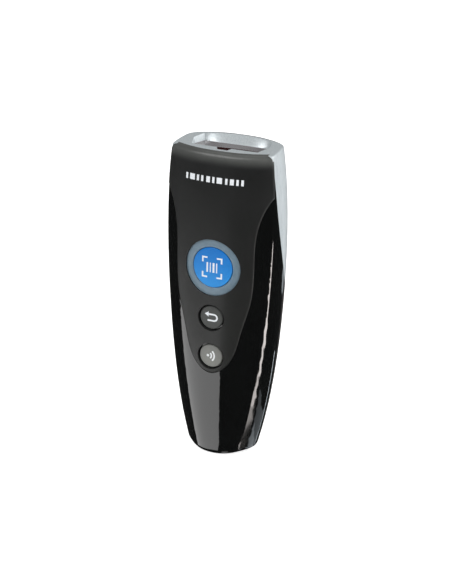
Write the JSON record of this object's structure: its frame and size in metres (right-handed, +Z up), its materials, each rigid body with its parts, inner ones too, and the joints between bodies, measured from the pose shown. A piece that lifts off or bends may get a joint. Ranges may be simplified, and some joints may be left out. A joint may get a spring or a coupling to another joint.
{
  "type": "pocket barcode scanner",
  "caption": "Pocket wireless barcode scanner: tapered casing, round trigger in a light ring, two small keys, scan window in the top end, sliding battery cover and foot flap.",
  "frame": {"origin": "centre of the foot: the middle of the bounding box's lowest face", "axes": "+Z up the long axis to the scan window, -Y out of the button face, +X to the user's right facing the buttons"},
  "size_m": [0.0458, 0.0275, 0.123],
  "materials": {
    "soft_panel": "soft-touch matte overlay, fine sprayed texture",
    "gloss_black": "piano black, polished",
    "matte_black": "spark-eroded matte texture",
    "silver_bezel": "satin silver paint on plastic",
    "window_plastic": "smoked hard-coated acrylic",
    "foam": "closed-cell foam gasket",
    "seal_rubber": "silicone cord",
    "label_film": "blank polyester label, satin",
    "light_guide": "translucent blue-grey light guide",
    "blue_key": "blue hard-coated key",
    "dark_key": "dark grey key",
    "grey_key": "mid grey key",
    "board_green": "solder mask",
    "silicone_pad": "translucent silicone",
    "steel": "bare sheet steel",
    "led_white": "moulded LED body",
    "chip_black": "epoxy chip package",
    "ceramic_antenna": "fired ceramic",
    "frame_plastic": "glass-filled nylon",
    "battery_sleeve": "aluminium can in a dark printed-free sleeve",
    "contact_gold": "gold-plated",
    "optic_black": "anodised flat black",
    "lens_glass": "coated lens",
    "sensor_face": "sensor cover glass",
    "flex_film": "polyimide flex",
    "flap_rubber": "soft elastomer",
    "tungsten_weight": "sintered heavy metal",
    "screw_steel": "black zinc screw",
    "plug_rubber": "rubber plug"
  },
  "bodies": {
    "casing": {"front_panel": "soft_panel", "front_shell": "gloss_black", "rear_shell": "matte_black", "window_bezel": "silver_bezel", "scan_window": "window_plastic", "window_gasket": "foam", "perimeter_seal": "seal_rubber", "rear_label": "label_film", "light_ring": "light_guide", "main_board": "board_green", "key_pad": "silicone_pad", "dome_switches": "steel", "ring_leds": "led_white", "processor": "chip_black", "memory_chip": "chip_black", "charger_chip": "chip_black", "radio_board": "board_green", "radio_shield": "steel", "chip_antenna": "ceramic_antenna", "charging_socket": "steel", "beeper": "chip_black", "inner_frame": "frame_plastic", "battery_pack": "battery_sleeve", "contact_block": "frame_plastic", "contact_pins": "contact_gold", "motor_can": "steel", "imager_housing": "optic_black", "imager_bracket": "steel", "imager_flex": "flex_film", "sensor_board": "board_green", "image_sensor": "sensor_face", "lens_barrel": "optic_black", "imager_lens": "lens_glass", "aimer_led": "led_white", "flood_leds": "led_white", "flap_pin": "steel", "case_screws": "screw_steel", "board_screws": "screw_steel", "screw_plugs": "plug_rubber"},
    "trigger": {"trigger_button": "blue_key"},
    "undo": {"undo_key": "dark_key"},
    "link": {"link_key": "grey_key"},
    "cover": {"battery_cover": "matte_black"},
    "flap": {"charge_flap": "flap_rubber"},
    "rotor": {"motor_shaft": "steel", "motor_weight": "tungsten_weight"}
  },
  "joints": [
    {"name": "trigger_press", "type": "slide", "parent": "casing", "child": "trigger", "axis": [0, 1, 0], "range_m": [0, 0.0006], "stiffness_N_per_m": 300, "springref_m": -0.0005},
    {"name": "undo_press", "type": "slide", "parent": "casing", "child": "undo", "axis": [0, 1, 0], "range_m": [0, 0.0006], "stiffness_N_per_m": 300, "springref_m": -0.0005},
    {"name": "link_press", "type": "slide", "parent": "casing", "child": "link", "axis": [0, 1, 0], "range_m": [0, 0.0006], "stiffness_N_per_m": 300, "springref_m": -0.0005},
    {"name": "cover_slide", "type": "slide", "parent": "casing", "child": "cover", "axis": [0, 0, -1], "range_m": [0, 0.012]},
    {"name": "flap_open", "type": "hinge", "parent": "casing", "child": "flap", "pos_m": [0, -0.005, 0.0015], "axis": [-1, 0, 0], "range_deg": [0, 85]},
    {"name": "motor_spin", "type": "hinge", "parent": "casing", "child": "rotor", "pos_m": [0, 0.0035, 0.068], "axis": [1, 0, 0], "continuous": true}
  ]
}
